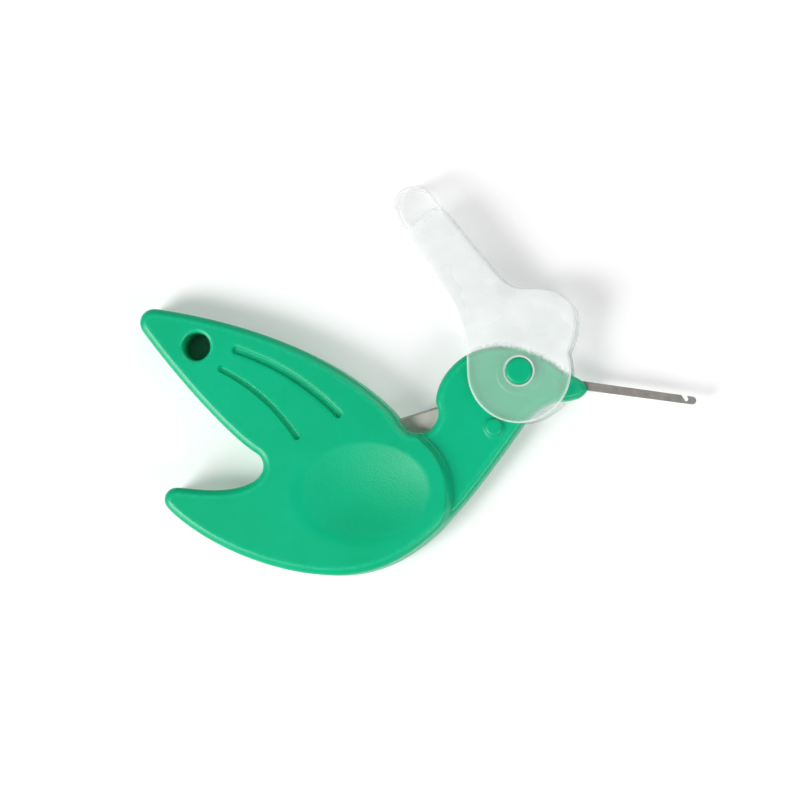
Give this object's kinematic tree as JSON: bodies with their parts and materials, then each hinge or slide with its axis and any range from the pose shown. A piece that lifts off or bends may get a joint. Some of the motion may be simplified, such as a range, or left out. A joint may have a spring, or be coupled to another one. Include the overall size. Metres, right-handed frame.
{
  "type": "needle threader",
  "caption": "Bird-shaped moulded needle threader with a flat steel hook for a beak, a thread cutter in its back and a translucent cover that swings over the hook.",
  "frame": {"origin": "centre of the object's box in X and Y, on the flat back that it lies on", "axes": "+X along the length towards the hook tip, +Y across the handle towards the open cover's tip, +Z out of the front face"},
  "size_m": [0.0804, 0.056, 0.0066],
  "materials": {
    "green_plastic": "satin moulded",
    "clear_cover": "frosted translucent",
    "hook_steel": "satin",
    "blade_steel": "ground"
  },
  "bodies": {
    "body": {"front_shell": "green_plastic", "rear_shell": "green_plastic", "hook": "hook_steel", "cutter_blade": "blade_steel"},
    "cover": {"cover": "clear_cover"}
  },
  "joints": [
    {"name": "cover_swing", "type": "hinge", "parent": "body", "child": "cover", "pos_m": [0.01506, 0.00117, 0.0033], "axis": [0, 0, 1], "range_deg": [-131, 40]}
  ]
}
